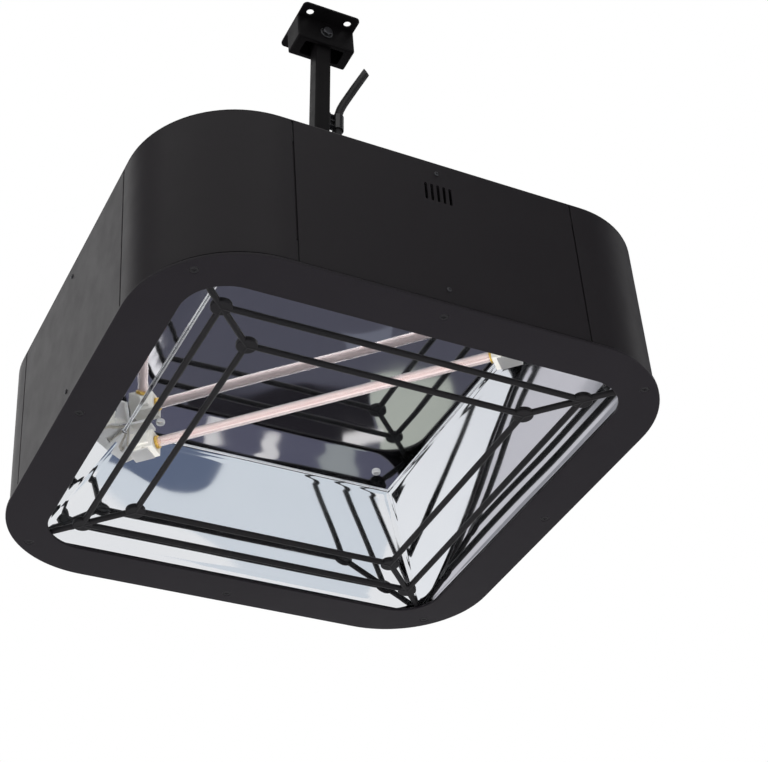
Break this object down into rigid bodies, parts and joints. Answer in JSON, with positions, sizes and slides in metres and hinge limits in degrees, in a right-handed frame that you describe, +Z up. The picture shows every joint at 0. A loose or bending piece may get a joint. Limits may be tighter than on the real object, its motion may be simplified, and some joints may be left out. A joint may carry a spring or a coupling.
{
  "type": "infrared patio heater",
  "caption": "Hanging infrared patio heater: a square rounded head with a mirror reflector, quartz lamp and rod grille, on a short pole hinged at the ceiling bracket and at the head.",
  "frame": {"origin": "centre of the ceiling plate's upper face, which lies against the ceiling", "axes": "+Z up into the ceiling, both hinges turn about Y, and -Y is the vented front of the head"},
  "size_m": [0.506, 0.506, 0.6108],
  "materials": {
    "shell_paint": "fine textured dark grey powder coat",
    "bezel_paint": "smooth satin black powder coat",
    "grille_paint": "heat proof matt black enamel",
    "mirror_sheet": "polished to a mirror",
    "zinc_steel": "bright zinc plated",
    "black_screws": "black oxide",
    "shield_steel": "plain galvanised sheet",
    "nylon": "black glass filled nylon",
    "clip_plastic": "gloss black",
    "cord_rubber": "smooth black sheath",
    "quartz": "clear quartz",
    "heating_wire": "unlit heating filament",
    "collar_brass": "bright",
    "ceramic": "unglazed cream ceramic",
    "lead_sleeve": "woven heat proof sleeve",
    "board_green": "green laminate",
    "block_plastic": "moulded",
    "receiver_plastic": "black, lets infrared light through"
  },
  "bodies": {
    "ceiling_mount": {"ceiling_plate": "shell_paint", "bracket_box": "shell_paint", "pivot_bolt": "black_screws", "pivot_nut": "black_screws", "pivot_washers": "zinc_steel", "pivot_spacers": "nylon"},
    "pole": {"pole": "shell_paint", "pivot_sleeve": "zinc_steel", "tilt_sleeve": "zinc_steel", "cord_clip": "clip_plastic", "clip_screw": "zinc_steel", "cord_tail": "cord_rubber"},
    "head": {"cord_riser": "cord_rubber", "yoke": "shell_paint", "yoke_bolts": "zinc_steel", "tilt_bolt": "black_screws", "tilt_nut": "black_screws", "tilt_washers": "nylon", "cord_gland": "nylon", "gland_nut": "nylon", "top_cover": "shell_paint", "top_screws": "black_screws", "top_frame": "bezel_paint", "base_frame": "bezel_paint", "front_panel": "shell_paint", "back_panel": "shell_paint", "left_panel": "shell_paint", "right_panel": "shell_paint", "corner_front_left": "shell_paint", "corner_front_right": "shell_paint", "corner_back_right": "shell_paint", "corner_back_left": "shell_paint", "panel_screws": "black_screws", "bezel": "bezel_paint", "bezel_screws": "black_screws", "grille_outer": "grille_paint", "grille_inner": "grille_paint", "grille_spokes": "grille_paint", "grille_hubs": "grille_paint", "reflector_top": "mirror_sheet", "reflector_front": "mirror_sheet", "reflector_right": "mirror_sheet", "reflector_back": "mirror_sheet", "reflector_left": "mirror_sheet", "reflector_screws": "zinc_steel", "shield_spacers": "zinc_steel", "heat_shield": "shield_steel", "shield_nuts": "zinc_steel", "lamp_tube": "quartz", "filament": "heating_wire", "lamp_collars": "collar_brass", "lamp_caps": "ceramic", "lamp_brackets": "zinc_steel", "lamp_leads": "lead_sleeve", "terminal_block": "block_plastic", "control_board": "board_green", "board_standoffs": "block_plastic", "receiver": "receiver_plastic", "inner_cord": "cord_rubber"}
  },
  "joints": [
    {"name": "bracket_pivot", "type": "hinge", "parent": "ceiling_mount", "child": "pole", "pos_m": [0, 0, -0.0185], "axis": [0, 1, 0], "range_deg": [-38, 31]},
    {"name": "head_tilt", "type": "hinge", "parent": "pole", "child": "head", "pos_m": [-0.02366, 0, -0.4168], "axis": [0, 1, 0], "range_deg": [-30, 30], "deforming": ["cord_riser"]}
  ]
}
